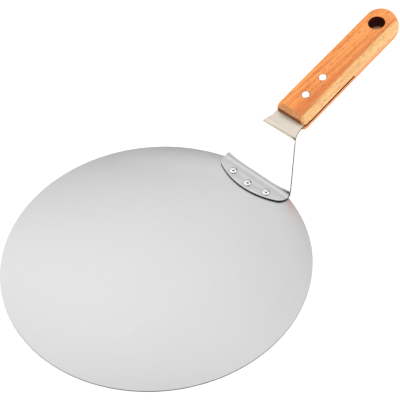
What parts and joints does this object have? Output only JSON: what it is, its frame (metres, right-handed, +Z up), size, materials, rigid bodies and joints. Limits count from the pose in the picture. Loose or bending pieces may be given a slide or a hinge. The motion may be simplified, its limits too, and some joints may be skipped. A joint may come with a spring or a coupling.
{
  "type": "pizza peel",
  "caption": "Round steel pizza peel for lifting and turning a pizza, with a cranked neck bracket riveted to the blade and a slotted wooden handle with a hanging hole.",
  "frame": {"origin": "centre of the blade's underside, the face that the peel rests on", "axes": "+Y from the blade's centre towards the handle, +Z up out of the blade, X across the peel, which is mirror-symmetric about X = 0"},
  "size_m": [0.254, 0.429, 0.0814],
  "materials": {
    "blade_steel": "fine satin sheet, slight rolling grain",
    "bracket_steel": "fine satin sheet with sheared edges",
    "rivet_steel": "bright polished domed heads",
    "handle_wood": "oiled reddish hardwood with short dark pores and pale sapwood on one side",
    "pin_aluminium": "sanded flush with the wood"
  },
  "bodies": {
    "root": {"blade": "blade_steel", "neck_bracket": "bracket_steel", "blade_rivet_left": "rivet_steel", "blade_rivet_middle": "rivet_steel", "blade_rivet_right": "rivet_steel", "handle": "handle_wood", "handle_pin_front": "pin_aluminium", "handle_pin_rear": "pin_aluminium"}
  },
  "joints": []
}
